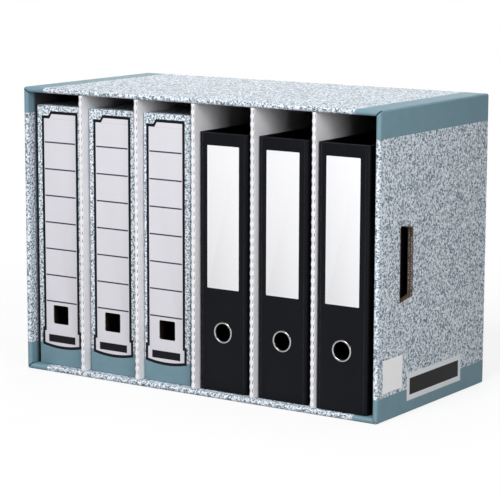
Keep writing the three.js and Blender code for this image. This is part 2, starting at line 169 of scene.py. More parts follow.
class Graph:
    """The node graph of one material, or of the world."""

    def __init__(self, name: str, world: bool = False) -> None:
        """Start an empty graph with its output node."""
        holders, kind = (bpy.data.worlds, "World") if world else (bpy.data.materials, "Material")
        self.holder = holders.new(name)
        self.holder.use_nodes = True
        self.tree = self.holder.node_tree
        self.tree.nodes.clear()
        self.output = self.tree.nodes.new(f"ShaderNodeOutput{kind}")

    def node(self, kind: str, settings: dict | None = None, inputs: dict | None = None) -> Node:
        """Add a node.

        Args:
            kind: The node's type.
            settings: The node's own options, set first.
            inputs: Numbers, colours or links by socket name or place.

        Returns:
            The new node.
        """
        made = self.tree.nodes.new(kind)
        for name, option in (settings or {}).items():
            setattr(made, name, option)
        for name, value in (inputs or {}).items():
            self._feed(made.inputs[name], value)
        return made

    def _feed(self, socket: NodeSocket, value: object) -> None:
        """Link a value to a socket, or set the socket to a number or a colour."""
        if isinstance(value, Value):
            self.tree.links.new(value.socket, socket)
        elif isinstance(value, NodeSocket):
            self.tree.links.new(value, socket)
        elif socket.type == "RGBA":
            socket.default_value = (*value, 1.0)
        else:
            socket.default_value = value

    def math(self, operation: str, *operands: Number, clamp: bool = False) -> Value:
        """Add a Math node for an operation on numbers and values."""
        settings = {"operation": operation, "use_clamp": clamp}
        return Value(self, self.node("ShaderNodeMath", settings, dict(enumerate(operands))).outputs[0])

    def mix(self, factor: Number, first: object, second: object) -> NodeSocket:
        """Mix two colours by a mask: the first where it is 0, the second where it is 1."""
        inputs = {0: factor, 6: first, 7: second}
        return self.node("ShaderNodeMix", {"data_type": "RGBA"}, inputs).outputs[2]

    def place(self) -> tuple[Value, Value, Value]:
        """The point on the piece, in the object's own metres."""
        split = self.node("ShaderNodeSeparateXYZ", inputs={0: self.point()})
        return tuple(Value(self, socket) for socket in split.outputs)

    def point(self) -> NodeSocket:
        """The point on the piece as a vector."""
        return self.node("ShaderNodeTexCoord").outputs["Object"]

    def stretched(self, scale: tuple[float, float, float]) -> NodeSocket:
        """The point on the piece, stretched along its axes."""
        return self.node("ShaderNodeMapping", inputs={"Vector": self.point(), "Scale": scale}).outputs[0]

    def noise(self, scale: float, detail: float = 2.0, rough: float = 0.5, vector: object = None) -> Value:
        """Solid noise of 0 to 1, with a scale in waves per metre."""
        made = self.node("ShaderNodeTexNoise", inputs={
            "Vector": vector or self.point(), "Scale": scale, "Detail": detail, "Roughness": rough,
        })
        return Value(self, made.outputs[0])

    def bump(self, height: Value, distance: float) -> NodeSocket:
        """A normal from a height of 0 to 1 and the depth in metres that it stands for."""
        inputs = {"Height": height, "Distance": distance, "Strength": 1.0}
        return self.node("ShaderNodeBump", inputs=inputs).outputs[0]

    def dress(
        self, colour: object, roughness: object, sheen: float, normal: NodeSocket, metal: float = 0.0,
    ) -> Material:
        """Close the graph with a Principled shader.

        Args:
            colour: A colour or a link to one.
            roughness: A number or a link to one.
            sheen: How much the surface mirrors, with 0.5 as usual.
            normal: A link to a normal.
            metal: How much of it is metal, from 0 to 1.

        Returns:
            The finished material.
        """
        shader = self.node("ShaderNodeBsdfPrincipled", inputs={
            "Base Color": colour, "Roughness": roughness, "Specular IOR Level": sheen,
            "Normal": normal, "Metallic": metal,
        })
        return self.close(shader)

    def close(self, shader: Node) -> Material | World:
        """Link the last shader to the output, and return what holds the graph."""
        self.tree.links.new(shader.outputs[0], self.output.inputs["Surface"])
        return self.holder


def corners(node: str) -> tuple[Vector, Vector]:
    """The lowest and highest corner of one of the frame's nodes."""
    low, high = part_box(node)
    return Vector(low), Vector(high)


class Boxed:
    """Anything that lies between a lowest and a highest corner."""

    low: Vector
    high: Vector

    @property
    def middle(self) -> float:
        """The X of its middle."""
        return (self.low.x + self.high.x) / 2

    @property
    def half(self) -> float:
        """Half its width."""
        return (self.high.x - self.low.x) / 2


# Finishes


@dataclass(frozen=True)
class SpecklePrint:
    """The fine speckle printed on the unit's board, with its solid colour."""

    pale: Colour = srgb(232, 239, 247)
    dark: Colour = srgb(83, 104, 118)
    solid: Colour = srgb(118, 149, 161)
    grain: float = 330.0
    fine_grain: float = 640.0
    pale_from: float = 0.485
    softness: float = 0.14

    def speckle(self, graph: Graph) -> NodeSocket:
        """The speckled colour: coarse and fine grains laid over each other."""
        coarse = graph.noise(self.grain, detail=1.5, rough=0.6)
        fine = graph.noise(self.fine_grain, detail=1.0)
        grain = coarse * 0.6 + fine * 0.4
        return graph.mix(grain.above(self.pale_from, self.softness), self.dark, self.pale)

    def solid_ink(self, graph: Graph) -> NodeSocket:
        """The solid colour, with the slight mottle of ink on board."""
        mottle = graph.noise(60.0, detail=4.0, rough=0.6).above(0.45, 0.5)
        deeper = tuple(level * 0.9 for level in self.solid)
        return graph.mix(mottle, deeper, self.solid)


@dataclass(frozen=True)
class Corrugation:
    """How the flutes inside a board show through its face."""

    pitch: float = 7.0 * MM
    depth: float = 0.05 * MM
    paper_depth: float = 0.03 * MM

    def normal(self, graph: Graph, along: Value) -> NodeSocket:
        """A bump of faint ridges across one direction, with the grain of paper on them."""
        wave = graph.math("SINE", along * (2 * math.pi / self.pitch)) * 0.5 + 0.5
        grain = graph.noise(1500.0, detail=2.0)
        return graph.bump(wave + grain * (self.paper_depth / self.depth), self.depth)


@dataclass(frozen=True)
class CasePrint:
    """The print on the outer case: bands along its edges and two bare labels on the right wall."""

    low: Vector
    high: Vector
    rim: float
    mitre: float
    mitre_depth: float
    ink: SpecklePrint = SpecklePrint()
    board: Corrugation = Corrugation()
    roughness: float = 0.62
    sheen: float = 0.22
    # Painted shade: the dark grey laid on the case's inner faces
    inner_colour: Colour = srgb(62, 63, 68)
    # Painted shade: the near-black laid into the mitre grooves
    groove: Colour = srgb(30, 34, 38)
    margin: float = 0.3 * MM
    printed_fold: float = 15 * MM
    roof_band: float = 36 * MM
    top_band: float = 36 * MM
    left_foot_band: float = 38 * MM
    right_foot_band: float = 32 * MM

    def material(self) -> Material:
        """The whole print as one material."""
        graph = Graph("case_print")
        x, y, z = graph.place()
        side = abs(x)
        half = self.high.x
        rim = self.rim + self.margin
        on_roof_or_floor = z.above(self.high.z - rim) | z.below(rim)
        on_wall = side.above(half - rim)
        across = on_roof_or_floor * side.above(half - self.roof_band)
        foot = x.below(0.0) * (self.left_foot_band - self.right_foot_band) + self.right_foot_band
        up = on_wall * (z.above(self.high.z - self.top_band) | (z - foot).below(0.0))
        colour = graph.mix(across | up, self.ink.speckle(graph), self.ink.solid_ink(graph))
        for label in self.labels():
            colour = label.over(graph, colour, (x, y, z), half)
        # Painted shade: the inner faces behind the printed fold are darkened as shade inside the case
        colour = graph.mix(self._shaded_inside(side, y, z), colour, self.inner_colour)
        # Painted shade: the mitre grooves are darkened as shadow in the gaps
        colour = graph.mix(self._mitre_shade(side, y, z), colour, self.groove)
        normal = self.board.normal(graph, z + y)
        return graph.dress(colour, self.roughness, self.sheen, normal)

    def _shaded_inside(self, side: Value, y: Value, z: Value) -> Value:
        """The folded-in leaves behind the printed fold, painted dark grey as the shade that falls deep inside
        the case.
        """
        rim = self.rim - self.margin
        within = side.below(self.high.x - rim) * z.between(self.low.z + rim, self.high.z - rim)
        return within * y.between(self.low.y + self.printed_fold, self.high.y - 1 * MM, 6 * MM)

    def _mitre_shade(self, side: Value, y: Value, z: Value) -> Value:
        """The grooves that cross the front fold at its four corners, painted near-black as the shade in their
        gaps.
        """
        middle = (self.low.z + self.high.z) / 2
        rise = abs(z - middle) - (self.high.z - middle)
        off = abs(side - self.high.x - rise) * math.sqrt(0.5)
        return off.below(self.mitre / 2 + 0.1 * MM) * y.below(self.low.y + self.mitre_depth + 0.2 * MM)

    def labels(self) -> list["WallLabel"]:
        """The bare white label and the silvery one with a plain dark field, both without words."""
        front = self.low.y
        return [
            WallLabel(front + 14 * MM, front + 64 * MM, 37 * MM, 80 * MM, srgb(250, 250, 251)),
            WallLabel(front + 76 * MM, front + 221 * MM, 16 * MM, 52 * MM, srgb(229, 232, 235),
                      field=srgb(9, 9, 12)),
        ]


@dataclass(frozen=True)
class WallLabel:
    """A label printed on the right wall, given by its front, back, foot and top."""

    front: float
    back: float
    foot: float
    top: float
    colour: Colour
    field: Colour | None = None
    margin: float = 7 * MM

    def over(
        self, graph: Graph, colour: object, point: tuple[Value, Value, Value], half: float,
    ) -> NodeSocket:
        """Lay the label over a colour.

        Args:
            graph: The material's graph.
            colour: What lies under the label.
            point: The point's X, Y and Z.
            half: Where the wall's face lies.

        Returns:
            The colour with the label on it.
        """
        x, y, z = point
        face = x.above(half - 0.6 * MM)
        colour = graph.mix(face * self._area(y, z, 0.0), colour, self.colour)
        if self.field:
            colour = graph.mix(face * self._area(y, z, self.margin), colour, self.field)
        return colour

    def _area(self, y: Value, z: Value, inset: float) -> Value:
        """The label's rectangle, drawn in by an inset."""
        depth = y.between(self.front + inset, self.back - inset)
        return depth * z.between(self.foot + inset, self.top - inset)


@dataclass(frozen=True)
class TransferPrint(Boxed):
    """The print on a transfer box: a ruled white panel with a heavy outline, over the speckle."""

    low: Vector
    high: Vector
    shift: float
    board_edge: float = 0.9 * MM
    ink: SpecklePrint = SpecklePrint()
    board: Corrugation = Corrugation(pitch=3.2 * MM, depth=0.03 * MM)
    roughness: float = 0.6
    sheen: float = 0.18
    paper: Colour = srgb(214, 213, 219)
    outline: Colour = srgb(10, 10, 17)
    rule: Colour = srgb(62, 60, 72)
    inner_colour: Colour = srgb(96, 84, 70)
    half_width: float = 29.7 * MM
    top: float = 356.6 * MM
    foot_overlap: float = 4 * MM
    tab_overlap: float = 2 * MM
    tab_rise: float = 6.5 * MM
    tab_slant: float = 0.6
    tab_start: float = -19 * MM
    foot_top: float = 57 * MM
    foot_bottom: float = 36.5 * MM
    foot_sag: float = 3.5 * MM
    foot_growth: float = 2.6 * MM
    line: float = 4.1 * MM
    rule_top: float = 321.7 * MM
    rule_pitch: float = 37.28 * MM
    rule_count: int = 7
    rule_width: float = 2.0 * MM
    rule_gap: float = 0.8 * MM
    band_top: float = 38 * MM
    bar: Pair = (47 * MM, 10.5 * MM)

    def material(self, name: str) -> Material:
        """The box's print as one material."""
        graph = Graph(name)
        x, y, z = graph.place()
        across = x - (self.middle + self.shift)
        facing = y.below(self.low.y + 0.5 * MM)
        colour = graph.mix(z.below(self.band_top), self.ink.speckle(graph), self.ink.solid_ink(graph))
        for mask, ink in (
            (self._panel(across, z, self.line / 2), self.outline),
            (self._panel(across, z, -self.line / 2), self.paper),
            (self._rules(across, z), self.rule),
            (self._bar(across, z), self.outline),
        ):
            colour = graph.mix(facing * mask, colour, ink)
        edge = self.board_edge
        inside = abs(x - self.middle).below(self.high.x - self.middle - edge)
        inside = inside * y.between(self.low.y + edge, self.high.y - edge)
        inside = inside * z.between(self.low.z + edge, self.high.z - edge)
        colour = graph.mix(inside, colour, self.inner_colour)
        normal = self.board.normal(graph, z)
        return graph.dress(colour, self.roughness, self.sheen, normal)

    def _panel(self, across: Value, z: Value, grow: float) -> Value:
        """The panel's outline, grown by a margin: a column with a raised tab and a wider foot."""
        column = abs(across).below(self.half_width + grow)
        column = column * z.between(self.foot_top - self.foot_overlap, self.top + grow)
        slanted = across - (z - self.top) * self.tab_slant
        tab = slanted.above(self.tab_start - grow) * across.below(self.half_width + grow)
        tab = tab * z.between(self.top - self.tab_overlap, self.top + self.tab_rise + grow)
        half_foot = self.half_width + self.foot_growth
        curve = across * across * (self.foot_sag / half_foot ** 2)
        foot = abs(across).below(half_foot + grow)
        lowest = self.foot_bottom - self.foot_sag - grow
        foot = foot * z.below(self.foot_top + grow) * (z - curve).above(lowest)
        return column | tab | foot

    def _rules(self, across: Value, z: Value) -> Value:
        """The ruled lines of the panel."""
        rules = 0.0
        for row in range(self.rule_count):
            middle = self.rule_top - row * self.rule_pitch
            rules = z.between(middle - self.rule_width / 2, middle + self.rule_width / 2) | rules
        return rules * abs(across).below(self.half_width - self.line / 2 - self.rule_gap)

    def _bar(self, across: Value, z: Value) -> Value:
        """A plain dark bar in the foot."""
        width, height = self.bar
        middle = (self.foot_top + self.foot_bottom - self.foot_sag) / 2
        return abs(across).below(width / 2) * z.between(middle - height / 2, middle + height / 2)


@dataclass(frozen=True)
class Paper:
    """Paper or board without print, clouded in two shades."""

    name: str
    colour: Colour
    shade: Colour
    cloud: tuple[float, float, float]
    fade: Pair
    relief: float | Corrugation
    roughness: float
    sheen: float

    def material(self) -> Material:
        """The paper, with its fibres or the flutes under it raised a little."""
        graph = Graph(self.name)
        cloud = graph.noise(*self.cloud)
        colour = graph.mix(cloud.above(*self.fade), self.shade, self.colour)
        if isinstance(self.relief, Corrugation):
            normal = self.relief.normal(graph, graph.place()[2])
        else:
            normal = graph.bump(cloud, self.relief)
        return graph.dress(colour, self.roughness, self.sheen, normal)


WHITE_BOARD = Paper(
    "white_board", srgb(239, 238, 241), srgb(229, 228, 231), cloud=(25.0, 5.0, 0.6), fade=(0.4, 0.4),
    relief=Corrugation(pitch=4.5 * MM), roughness=0.75, sheen=0.25,
)
# The brown paper that shows where corrugated board is cut
KRAFT_EDGE = Paper(
    "kraft_edge", srgb(122, 102, 84), srgb(78, 62, 48), cloud=(900.0, 4.0, 0.7), fade=(0.5, 0.3),
    relief=0.15 * MM, roughness=0.85, sheen=0.2,
)
# The matt white paper of a spine label
LABEL_PAPER = Paper(
    "label_paper", srgb(234, 234, 236), srgb(229, 229, 231), cloud=(600.0, 5.0, 0.7), fade=(0.5, 0.4),
    relief=0.02 * MM, roughness=0.7, sheen=0.18,
)


@dataclass(frozen=True)
class BlackCover(Boxed):
    """The satin black sheet that wraps one lever arch file, lighter along its edges: partly worn by rubbing,
    partly painted highlight.
    """

    low: Vector
    high: Vector
    crease_inset: float = 5.2 * MM
    colour: Colour = srgb(7, 9, 14)
    worn: Colour = srgb(12, 14, 20)
    # Lighter edge colour: partly wear from rubbing, partly painted highlight
    rubbed_and_highlit: Colour = srgb(58, 58, 62)
    rub_and_highlight_width: float = 1.1 * MM
    rub_and_highlight_fade: float = 0.8 * MM
    rub_and_highlight_share: float = 0.5
    roughness: float = 0.46
    sheen: float = 0.13

    def material(self, name: str) -> Material:
        """Black with a fine leather-like grain, an uneven sheen, and edges lightened partly as wear and
        partly as painted highlight.
        """
        graph = Graph(name)
        x, y, z = graph.place()
        cell = graph.node("ShaderNodeTexVoronoi", {"feature": "SMOOTH_F1"}, {
            "Vector": graph.point(), "Scale": 1100.0, "Smoothness": 0.6,
        })
        grain = Value(graph, cell.outputs["Distance"])
        cloud = graph.noise(18.0, detail=5.0, rough=0.6).above(0.5, 0.5)
        colour = graph.mix(cloud, self.colour, self.worn)
        patchy = graph.noise(120.0, detail=4.0, rough=0.7).above(0.46, 0.3)
        # Lighter along the creases and ends: partly wear from rubbing, partly painted highlight
        colour = graph.mix(self._rub_and_highlight(x, y, z) * patchy * self.rub_and_highlight_share, colour, self.rubbed_and_highlit)
        roughness = cloud * 0.1 + self.roughness
        return graph.dress(colour, roughness, self.sheen, graph.bump(grain, 0.05 * MM))

    def _rub_and_highlight(self, x: Value, y: Value, z: Value) -> Value:
        """Where the sheet is lightened, partly as wear and partly as painted highlight: along both creases of
        the spine and along its ends.
        """
        crease = self.half - self.crease_inset
        on_spine = y.below(self.low.y + 1.5 * MM)
        lines = abs(x - self.middle).between(crease - self.rub_and_highlight_width, crease, 0.5 * MM) * on_spine
        top = z.above(self.high.z - self.rub_and_highlight_width, self.rub_and_highlight_fade)
        foot = z.below(self.low.z + self.rub_and_highlight_width, self.rub_and_highlight_fade)
        return lines | (top | foot)


@dataclass(frozen=True)
class BrightSteel:
    """Plated steel, as on the finger rings and the mechanisms."""

    colour: Colour = srgb(186, 186, 186)

    def material(self) -> Material:
        """Bright metal with fine rubbed streaks."""
        graph = Graph("bright_steel")
        streak = graph.noise(700.0, detail=3.0, rough=0.6, vector=graph.stretched((1.0, 1.0, 4.0)))
        roughness = streak * 0.16 + 0.2
        return graph.dress(self.colour, roughness, 0.5, graph.bump(streak, 0.01 * MM), metal=1.0)


# Meshes


def placed(name: str, bm: BMesh) -> Object:
    """Turn a bmesh, which is freed, into an object of the scene."""
    mesh = bpy.data.meshes.new(name)
    bm.to_mesh(mesh)
    bm.free()
    piece = bpy.data.objects.new(name, mesh)
    bpy.context.scene.collection.objects.link(piece)
    return piece


def finished(name: str, bm: BMesh, angle: float = 35.0) -> Object:
    """Turn a bmesh into an object with soft curves and crisp edges.

    Args:
        name: The piece's name.
        bm: The mesh, which is freed.
        angle: Edges that turn by more degrees than this stay crisp.

    Returns:
        The new object, linked to the scene.
    """
    piece = placed(name, bm)
    smoothed(piece, angle)
    return piece


def smoothed(piece: Object, angle: float) -> None:
    """Shade a piece smooth, with its edges that turn by more than an angle in degrees left crisp."""
    piece.data.shade_smooth()
    piece.data.set_sharp_from_angle(angle=math.radians(angle))


def join_frame(piece: Object, slot: Slot, material: Material, *nodes: str) -> None:
    """Give a piece its material and its body, and hide the frame's nodes that it stands for."""
    piece.data.materials.clear()
    piece.data.materials.append(material)
    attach(piece, "root")
    if nodes:
        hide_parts(*nodes)
    log.info("%s: %d faces", piece.name, len(piece.data.polygons))


def box_mesh(low: Sequence[float], high: Sequence[float]) -> BMesh:
    """A new mesh that holds one box, from its lowest and highest corner."""
    low, high = Vector(low), Vector(high)
    bm = bmesh.new()
    matrix = Matrix.Translation((low + high) / 2) @ Matrix.Diagonal((*(high - low), 1.0))
    bmesh.ops.create_cube(bm, size=1.0, matrix=matrix)
    return bm


def outwards(bm: BMesh) -> None:
    """Turn a mesh's faces outwards."""
    bmesh.ops.recalc_face_normals(bm, faces=bm.faces)


def round_edges(bm: BMesh, edges: Iterable[BMEdge], radius: float, segments: int) -> None:
    """Round edges of a mesh."""
    bmesh.ops.bevel(
        bm, geom=list(edges), offset=radius, offset_type="OFFSET", segments=segments, profile=0.5,
        affect="EDGES", clamp_overlap=True, material=-1,
    )


def edges_along(bm: BMesh, axis: int) -> list[BMEdge]:
    """The edges that run along an axis."""
    return [edge for edge in bm.edges
            if abs((edge.verts[1].co - edge.verts[0].co).normalized()[axis]) > 0.999]


def modify(piece: Object, kind: str, **settings: object) -> None:
    """Add a modifier with its settings."""
    made = piece.modifiers.new(kind.lower(), kind)
    for name, setting in settings.items():
        setattr(made, name, setting)


def carved(piece: Object, tools: Iterable[BMesh]) -> None:
    """Cut tools out of a piece, and forget them."""
    cutters = [placed(f"cutter_{number}", bm) for number, bm in enumerate(tools)]
    for cutter in cutters:
        modify(piece, "BOOLEAN", operation="DIFFERENCE", solver="EXACT", object=cutter)
    apply_modifiers(piece)
    for cutter in cutters:
        mesh = cutter.data
        bpy.data.objects.remove(cutter)
        bpy.data.meshes.remove(mesh)


def apply_modifiers(piece: Object) -> None:
    """Replace a piece's mesh by what its modifiers make of it."""
    depsgraph = bpy.context.evaluated_depsgraph_get()
    result = bpy.data.meshes.new_from_object(piece.evaluated_get(depsgraph), depsgraph=depsgraph)
    piece.modifiers.clear()
    old = piece.data
    piece.data = result
    bpy.data.meshes.remove(old)


def prism(outline: Sequence[Vector], way: Vector) -> BMesh:
    """A closed outline pushed along a way."""
    bm = bmesh.new()
    face = bm.faces.new([bm.verts.new(point) for point in outline])
    pushed = bmesh.ops.extrude_face_region(bm, geom=[face])["geom"]
    bmesh.ops.translate(bm, vec=way, verts=[part for part in pushed if isinstance(part, BMVert)])
    outwards(bm)
    return bm


def arc(
    middle: Pair, radii: Pair, start: float, sweep: float, steps: int,
) -> list[Pair]:
    """Points on an arc, by its middle, its radius along each axis and its turn in degrees."""
    turns = [math.radians(start + sweep * step / steps) for step in range(steps + 1)]
    return [(middle[0] + radii[0] * math.cos(turn), middle[1] + radii[1] * math.sin(turn))
            for turn in turns]


def soft_rectangle(width: float, height: float, radius: float) -> list[Pair]:
    """The outline of a rectangle with round corners, about its middle."""
    outline = []
    for side, end, start in CORNERS:
        middle = (side * (width / 2 - radius), end * (height / 2 - radius))
        outline += arc(middle, (radius, radius), start, 90, 5)
    return outline


# Sub-assemblies


@dataclass
class CaseShell:
    """The outer case: four walls with rounded front folds, a back of flaps and two hand slots."""

    low: Vector
    high: Vector
    board: float = 3.4 * MM
    fold_gap: float = 0.4 * MM
    crease: float = 3.0 * MM
    seam: float = 1.1 * MM
    mitre: float = 1.3 * MM
    mitre_depth: float = 5 * MM
    slot_front: float = 54.5 * MM
    slot_width: float = 31 * MM
    slot_heights: Pair = (98 * MM, 87 * MM)
    slot_middle: float = 198 * MM
    slot_corner: float = 2.5 * MM
    edge_depth: float = 1.4 * MM
    flute_pitch: float = 6.5 * MM
    liner: float = 0.45 * MM

    @property
    def rim(self) -> float:
        """The thickness of a wall with its folded-in leaf."""
        return 2 * self.board + self.fold_gap

    def build(self, kraft: Material) -> None:
        """Make the shell and the cut edges of its slots, and dress them."""
        shell = finished("folded_case", self._walls(), 30)
        carved(shell, [*self._seams(), self._slots()])
        smoothed(shell, 30)
        dress = CasePrint(self.low, self.high, self.rim, self.mitre, self.mitre_depth)
        join_frame(shell, Slot.CASE, dress.material(), "outer_case")
        for side, name in ((1, "right"), (-1, "left")):
            join_frame(self._cut_edge(f"slot_cut_edge_{name}", side), Slot.CASE, kraft)

    def _section(self) -> list[Pair]:
        """One wall in section, from the back round the front fold: how far in and how far behind."""
        depth = self.high.y - self.low.y
        fold = self.rim / 2
        return [
            *arc((self.crease, depth - self.crease), (self.crease, self.crease), 90, 90, 5),
            *arc((fold, fold), (fold, fold), 180, 180, 12),
            (self.rim, depth - 2 * self.board),
        ]

    def _ring(self, inwards: float, behind: float) -> list[Vector]:
        """One line of the section carried round the case, with round outer and sharp inner corners."""
        centre = (self.low + self.high) / 2
        half = (self.high - self.low) / 2
        radius = max(self.crease - inwards, 0.0)
        reach = max(self.crease, inwards)
        ring = []
        for side, end, start in CORNERS:
            middle = (centre.x + side * (half.x - reach), centre.z + end * (half.z - reach))
            ring += [Vector((x, self.low.y + behind, z))
                     for x, z in arc(middle, (radius, radius), start, 90, 5)]
        return ring

    def _walls(self) -> BMesh:
        """The walls and the back as one closed shell."""
        bm = bmesh.new()
        rings = [[bm.verts.new(point) for point in self._ring(*place)] for place in self._section()]
        for ring, beside in zip(rings, rings[1:]):
            for index, vert in enumerate(ring):
                bm.faces.new((ring[index - 1], vert, beside[index], beside[index - 1]))
        for ring in (rings[0], rings[-1]):
            bm.faces.new(ring)
        bmesh.ops.remove_doubles(bm, verts=bm.verts, dist=NEAR)
        outwards(bm)
        return bm

    def _seams(self) -> list[BMesh]:
        """Tools for the seams at the corners and the slit between the back flaps."""
        inner = (self.board + self.fold_gap / 2) * math.sqrt(2)
        outer = self.rim * math.sqrt(2) + OVERRUN
        depth = self.high.y - self.low.y - 2 * self.board
        tools = []
        for side, end in ((-1, -1), (1, -1), (1, 1), (-1, 1)):
            turn = Matrix.Rotation(-math.atan2(end, side), 3, "Y")
            corner_z = self.high.z - self.rim if end > 0 else self.low.z + self.rim
            corner = Vector((side * (self.high.x - self.rim), self.low.y - OVERRUN, corner_z))
            cuts = ((inner, depth, self.seam), (outer, self.mitre_depth + OVERRUN, self.mitre))
            for reach, length, width in cuts:
                bm = box_mesh((-OVERRUN, 0, -width / 2), (reach, length, width / 2))
                bmesh.ops.rotate(bm, verts=bm.verts, cent=(0, 0, 0), matrix=turn)
                bmesh.ops.translate(bm, vec=corner, verts=bm.verts)
                tools.append(bm)
        middle = (self.low.z + self.high.z) / 2
        tools.append(box_mesh(
            (self.low.x + self.board, self.high.y - self.board, middle - self.seam),
            (self.high.x - self.board, self.high.y + OVERRUN, middle + self.seam),
        ))
        return tools

    def _slot_outline(self, x: float, grow: float) -> list[Vector]:
        """The slot's slanted outline on a plane of constant X, grown by a margin."""
        front, rear = (height / 2 + grow for height in self.slot_heights)
        width = self.slot_width + grow
        corners = [Vector((x, self.low.y + self.slot_front + behind, self.slot_middle + rise))
                   for behind, rise in ((-grow, -front), (width, -rear), (width, rear), (-grow, front))]
        outline = []
        for index, corner in enumerate(corners):
            reach = self.slot_corner + grow
            before = corner + (corners[index - 1] - corner).normalized() * reach
            after = corner + (corners[(index + 1) % 4] - corner).normalized() * reach
            outline += [before.lerp(corner, share).lerp(corner.lerp(after, share), share)
                        for share in (0, 0.25, 0.5, 0.75, 1)]
        return outline

    def _slots(self) -> BMesh:
        """One tool through both walls, wide enough for the cut edge that lines each slot."""
        outline = self._slot_outline(self.low.x - OVERRUN, self.edge_depth)
        return prism(outline, Vector((self.high.x - self.low.x + 2 * OVERRUN, 0, 0)))

    def _cut_edge(self, name: str, side: int) -> Object:
        """The cut board round a slot: flat liners with a waved flute between each pair."""
        bm = bmesh.new()
        face = side * self.high.x
        for leaf in range(2):
            start = leaf * (self.board + self.fold_gap)
            for liner_from in (start, start + self.board - self.liner):
                self._ribbon(bm, face - side * (liner_from + self.liner / 2), 0.0)
            self._ribbon(bm, face - side * (start + self.board / 2), self.board / 2 - self.liner)
        outwards(bm)
        piece = finished(name, bm, 60)
        modify(piece, "SOLIDIFY", thickness=self.liner, offset=0)
        apply_modifiers(piece)
        return piece

    def _ribbon(self, bm: BMesh, x: float, swing: float) -> None:
        """Add a ribbon round the slot that swings from side to side as a flute does."""
        inner = self._slot_outline(x, 0.0)
        outer = self._slot_outline(x, self.edge_depth - 0.05 * MM)
        pairs = []
        travelled = 0.0
        for index, start in enumerate(inner):
            after = (index + 1) % len(inner)
            length = (inner[after] - start).length
            parts = max(1, round(length / (0.5 * MM))) if swing else 1
            for part in range(parts):
                share = part / parts
                wave = swing * math.sin(2 * math.pi * (travelled + length * share) / self.flute_pitch)
                pairs.append([bm.verts.new(ring[index].lerp(ring[after], share) + Vector((wave, 0, 0)))
                              for ring in (inner, outer)])
            travelled += length
        for index, pair in enumerate(pairs):
            bm.faces.new((pairs[index - 1][0], pair[0], pair[1], pairs[index - 1][1]))


@dataclass
class PerforatedDivider(Boxed):
    """A divider of white board folded double, with slits through both creases of its fold."""

    name: str
    low: Vector
    high: Vector
    pitch: float = 10.8 * MM
    rows_per_pitch: int = 12
    slit_rows: int = 5
    crease: float = 1.3 * MM
    paper: float = 0.8 * MM
    bulge: float = 0.25 * MM
    dent: float = 0.45 * MM
    slit_offset: int = 3

    def build(self, white: Material, kraft: Material) -> None:
        """Make the folded strip, open its slits, give it thickness and dress it, bare inside."""
        bm = bmesh.new()
        verts = [bm.verts.new((x, y, self.low.z)) for x, y in self._profile()]
        edges = [bm.edges.new(pair) for pair in zip(verts, verts[1:])]
        height = self.high.z - self.low.z
        rows = round(height / self.pitch * self.rows_per_pitch)
        bmesh.ops.spin(
            bm, geom=verts + edges, angle=0.0, steps=rows, axis=(0, 0, 1), cent=(0, 0, 0),
            dvec=(0, 0, height / rows), use_duplicate=False, use_merge=False,
        )
        self._open_slits(bm, height / rows)
        self._shape_bridges(bm, height / rows)
        outwards(bm)
        piece = finished(f"folded_{self.name}", bm, 50)
        modify(piece, "SOLIDIFY", thickness=self.paper, offset=-1, material_offset=1, material_offset_rim=1)
        piece.data.materials.append(white)
        piece.data.materials.append(kraft)
        apply_modifiers(piece)
        join_frame(piece, Slot.DIVIDER, white, self.name)
        piece.data.materials.append(kraft)

    def _profile(self) -> list[Pair]:
        """The fold in plan: up one leaf, round two creases and down the other."""
        left = [(-self.half, self.low.y + behind)
                for behind in (self.high.y - self.low.y, 30 * MM, 3 * MM)]
        left += arc((self.crease - self.half, self.low.y + self.crease), (self.crease,) * 2, 180, 90, 3)
        right = [(-across, back) for across, back in reversed(left)]
        return [(self.middle + across, back) for across, back in (*left, (0.0, self.low.y), *right)]

    def _rows_up(self, z: float, step: float) -> float:
        """How many rows up from the last slit's foot a height lies."""
        return ((z - self.low.z) / step + self.slit_offset) % self.rows_per_pitch

    def _at_crease(self, point: Vector) -> bool:
        """Whether a point lies on one of the two rounded creases."""
        reach = self.crease * 0.9
        return point.y < self.low.y + reach and self.half - abs(point.x - self.middle) < reach

    def _open_slits(self, bm: BMesh, step: float) -> None:
        """Take the crease's middle faces away along each slit."""
        slits = [face for face in bm.faces
                 if 0.2 < abs(face.normal.x) < 0.98 and abs(face.normal.y) > 0.6
                 and self._rows_up(face.calc_center_median().z, step) < self.slit_rows]
        bmesh.ops.delete(bm, geom=slits, context="FACES")

    def _shape_bridges(self, bm: BMesh, step: float) -> None:
        """Let the bridges swell and the board beside each slit sink."""
        for vert in bm.verts:
            between_ends = self.low.z + 2 * MM < vert.co.z < self.high.z - 2 * MM
            if not between_ends or not self._at_crease(vert.co):
                continue
            from_slit = self._rows_up(vert.co.z, step) - self.slit_rows / 2
            wave = math.cos(2 * math.pi * from_slit / self.rows_per_pitch)
            side = 1 if vert.co.x > self.middle else -1
            push = -wave * (self.dent if wave > 0 else self.bulge)
            vert.co += Vector((side, -0.6, 0)) * push


